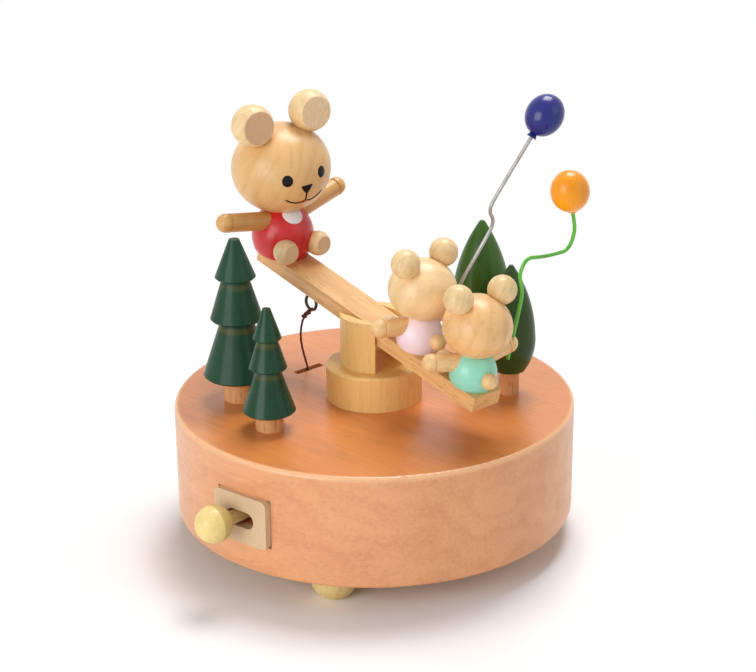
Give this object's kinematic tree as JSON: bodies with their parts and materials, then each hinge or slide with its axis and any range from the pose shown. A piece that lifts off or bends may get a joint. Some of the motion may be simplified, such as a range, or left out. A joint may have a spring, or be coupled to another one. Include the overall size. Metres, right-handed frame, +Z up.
{
  "type": "wooden music box",
  "caption": "Round wooden music box: a teddy-bear seesaw with trees and balloons on a drum with a wind-up comb movement, a side stop lever and ball feet.",
  "frame": {"origin": "on the drum's axis, level with the flats of the feet", "axes": "+Z up along the drum's axis; the stop lever points to azimuth -135 degrees"},
  "size_m": [0.115, 0.115, 0.1297],
  "materials": {
    "beech": "satin",
    "turned_wood": "satin",
    "tan_plate": "satin",
    "bear_wood": "satin",
    "red_paint": "painted",
    "pink_paint": "painted",
    "mint_paint": "painted",
    "fir_paint": "painted",
    "leaf_paint": "painted",
    "blue_paint": "gloss",
    "orange_paint": "gloss",
    "grey_wire": "painted",
    "green_wire": "painted",
    "dark_wire": "satin",
    "cord": "braided",
    "steel": "bright",
    "brass": "bright",
    "casting": "cast"
  },
  "bodies": {
    "base": {"base_drum": "beech", "bottom_board": "beech", "board_screws": "steel", "ball_feet": "turned_wood", "slot_plate": "tan_plate", "lever_pivot": "steel", "pivot_disc": "beech", "cheek_near": "beech", "cheek_far": "beech", "fir_tall_trunk": "turned_wood", "fir_tall_foliage": "fir_paint", "fir_short_trunk": "turned_wood", "fir_short_foliage": "fir_paint", "round_front_trunk": "turned_wood", "round_front_foliage": "leaf_paint", "round_back_trunk": "turned_wood", "round_back_foliage": "leaf_paint", "bedplate": "casting", "comb": "steel", "governor_frame": "casting", "pull_cord": "cord"},
    "seesaw": {"axle": "steel", "beam": "beech", "screw_eye": "dark_wire", "bear_head": "bear_wood", "bear_body": "red_paint", "bear_ear_left": "bear_wood", "bear_ear_right": "bear_wood", "bear_arm_left": "bear_wood", "bear_arm_right": "bear_wood", "bear_feet": "bear_wood", "bear_tail": "bear_wood", "pink_cub_head": "bear_wood", "pink_cub_body": "pink_paint", "pink_cub_ears": "bear_wood", "pink_cub_arms": "bear_wood", "pink_cub_feet": "bear_wood", "pink_cub_tail": "bear_wood", "mint_cub_head": "bear_wood", "mint_cub_body": "mint_paint", "mint_cub_ears": "bear_wood", "mint_cub_arms": "bear_wood", "mint_cub_feet": "bear_wood", "mint_cub_tail": "bear_wood", "blue_wire": "grey_wire", "green_wire": "green_wire", "blue_balloon": "blue_paint", "orange_balloon": "orange_paint"},
    "lever": {"stop_lever": "turned_wood", "stop_knob": "turned_wood"},
    "winder": {"winding_key": "steel", "spring_arbor": "steel"},
    "drive": {"spring_barrel": "brass", "mainspring": "steel", "crank_disc": "brass"},
    "cylinder": {"pinned_cylinder": "brass"},
    "governor": {"governor_wheel": "brass"},
    "fan": {"governor_fan": "brass"}
  },
  "joints": [
    {"name": "seesaw_tilt", "type": "hinge", "parent": "base", "child": "seesaw", "pos_m": [0, 0, 0.06348], "axis": [-0.8039, -0.5948, 0], "range_deg": [0, 28.6], "deforming": ["pull_cord"]},
    {"name": "stop_lever_swing", "type": "hinge", "parent": "base", "child": "lever", "pos_m": [-0.03217, -0.03217, 0.024], "axis": [0, 0, 1], "range_deg": [0, 19]},
    {"name": "key_turn", "type": "hinge", "parent": "base", "child": "winder", "pos_m": [0, 0, 0.0083], "axis": [0, 0, 1], "continuous": true},
    {"name": "drive_turn", "type": "hinge", "parent": "base", "child": "drive", "pos_m": [0, 0, 0.0144], "axis": [0, 0, 1], "continuous": true, "deforming": ["pull_cord"]},
    {"name": "cylinder_turn", "type": "hinge", "parent": "base", "child": "cylinder", "pos_m": [-0.01865, -0.0151, 0.02435], "axis": [-0.7771, -0.6293, 0], "continuous": true},
    {"name": "governor_turn", "type": "hinge", "parent": "base", "child": "governor", "pos_m": [-0.03173, -0.01914, 0.01926], "axis": [-0.7771, -0.6293, 0], "continuous": true},
    {"name": "fan_turn", "type": "hinge", "parent": "base", "child": "fan", "pos_m": [-0.03449, -0.01572, 0.0144], "axis": [0, 0, 1], "continuous": true}
  ],
  "couplings": [
    {"joint": "cylinder_turn", "follows": "drive_turn", "ratio": 3.75},
    {"joint": "governor_turn", "follows": "drive_turn", "ratio": -11.25},
    {"joint": "fan_turn", "follows": "drive_turn", "ratio": -67.5}
  ]
}
